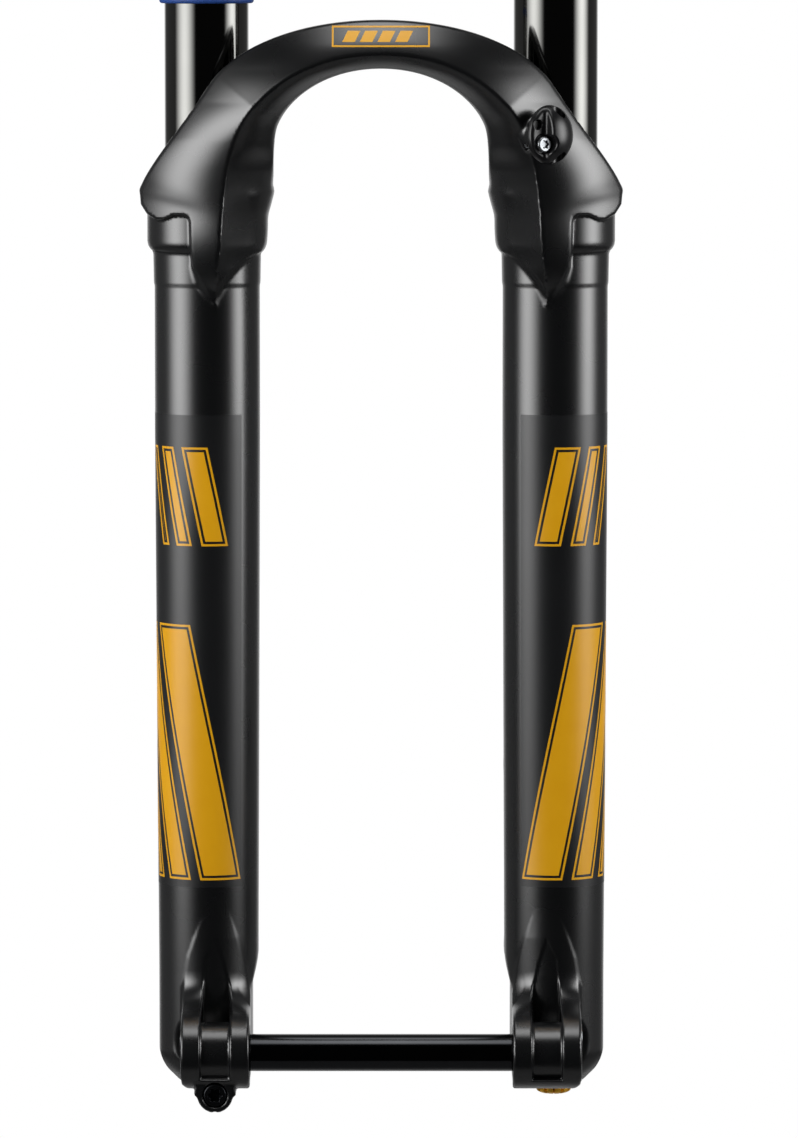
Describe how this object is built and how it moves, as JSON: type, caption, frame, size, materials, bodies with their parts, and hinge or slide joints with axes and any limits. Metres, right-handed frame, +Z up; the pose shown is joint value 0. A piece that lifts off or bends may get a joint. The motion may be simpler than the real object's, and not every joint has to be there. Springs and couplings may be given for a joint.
{
  "type": "bicycle suspension fork",
  "caption": "Single-crown telescopic bicycle fork with tapered steerer, air spring and cartridge damper legs, front arch, thru-axle dropouts and a post mount for a disc brake.",
  "frame": {"origin": "centre of the crown-race seat on the steerer axis", "axes": "+Z up the steerer, -Y towards the front of the bicycle, +X towards the damper leg (the rider's left)"},
  "size_m": [0.1956, 0.0865, 0.8292],
  "materials": {
    "satin_black_magnesium": "satin black paint on cast magnesium",
    "gloss_black_tube": "polished black low-friction coating",
    "black_anodised": "satin black anodised",
    "black_steel": "black oxide",
    "bare_alloy": "turned",
    "steel": "bright",
    "gold_anodised": "gold anodised",
    "blue_anodised": "blue anodised",
    "blue_rubber": "matt",
    "black_rubber": "matt",
    "black_plastic": "moulded, semi-gloss",
    "grey_plastic": "moulded",
    "bronze_liner": "dull",
    "foam": "open-cell foam"
  },
  "bodies": {
    "uppers": {"steerer_tube": "black_anodised", "crown": "black_anodised", "air_stanchion": "gloss_black_tube", "damper_stanchion": "gloss_black_tube", "air_top_cap": "black_anodised", "air_valve": "bare_alloy", "air_valve_cap": "blue_anodised", "volume_spacers": "grey_plastic", "bottom_out_bumper": "black_rubber", "air_seal_head": "bare_alloy", "air_retaining_ring": "steel", "damper_top_cap": "black_anodised", "damper_outer_tube": "bare_alloy", "damper_inner_tube": "bare_alloy", "base_valve": "bare_alloy", "damper_bladder": "black_rubber", "damper_seal_head": "bare_alloy", "damper_retaining_ring": "steel"},
    "lowers": {"lower_casting": "satin_black_magnesium", "air_wiper_seal": "black_rubber", "damper_wiper_seal": "black_rubber", "air_foam_ring": "foam", "damper_foam_ring": "foam", "air_upper_bushing": "bronze_liner", "air_lower_bushing": "bronze_liner", "damper_upper_bushing": "bronze_liner", "damper_lower_bushing": "bronze_liner", "air_shaft": "bare_alloy", "air_piston": "bare_alloy", "air_piston_ring": "black_rubber", "top_out_bumper": "black_rubber", "air_foot_bolt": "black_steel", "damper_shaft": "bare_alloy", "damper_piston": "bronze_liner", "damper_piston_band": "bronze_liner", "damper_foot_bolt": "black_steel", "crush_washers": "bare_alloy", "hose_guide": "black_plastic", "hose_guide_bolt": "steel", "pinch_bolt": "black_steel", "axle_collet": "bare_alloy", "axle_nut": "bare_alloy"},
    "axle": {"thru_axle": "black_anodised"},
    "rebound_adjuster": {"rebound_knob": "gold_anodised", "rebound_rod": "steel"},
    "low_speed_adjuster": {"compression_knob": "blue_anodised", "compression_needle": "steel"},
    "high_speed_lever": {"compression_lever": "black_anodised"},
    "sag_indicator": {"sag_ring": "blue_rubber"}
  },
  "joints": [
    {"name": "fork_travel", "type": "slide", "parent": "uppers", "child": "lowers", "axis": [0, 0, 1], "range_m": [0, 0.14], "stiffness_N_per_m": 5000, "springref_m": -0.02},
    {"name": "axle_withdraw", "type": "slide", "parent": "lowers", "child": "axle", "axis": [-1, 0, 0], "range_m": [0, 0.17]},
    {"name": "rebound_turn", "type": "hinge", "parent": "lowers", "child": "rebound_adjuster", "pos_m": [0.0705, -0.008, -0.572], "axis": [0, 0, 1], "range_deg": [-180, 180]},
    {"name": "low_speed_turn", "type": "hinge", "parent": "uppers", "child": "low_speed_adjuster", "pos_m": [0.0705, -0.008, 0.004], "axis": [0, 0, 1], "range_deg": [-180, 180]},
    {"name": "high_speed_turn", "type": "hinge", "parent": "uppers", "child": "high_speed_lever", "pos_m": [0.0705, -0.008, -0.002], "axis": [0, 0, 1], "range_deg": [-45, 45]},
    {"name": "sag_ring_slide", "type": "slide", "parent": "uppers", "child": "sag_indicator", "axis": [0, 0, 1], "range_m": [0, 0.073]}
  ],
  "couplings": [
    {"joint": "sag_ring_slide", "follows": "fork_travel", "ratio": 0.52}
  ]
}
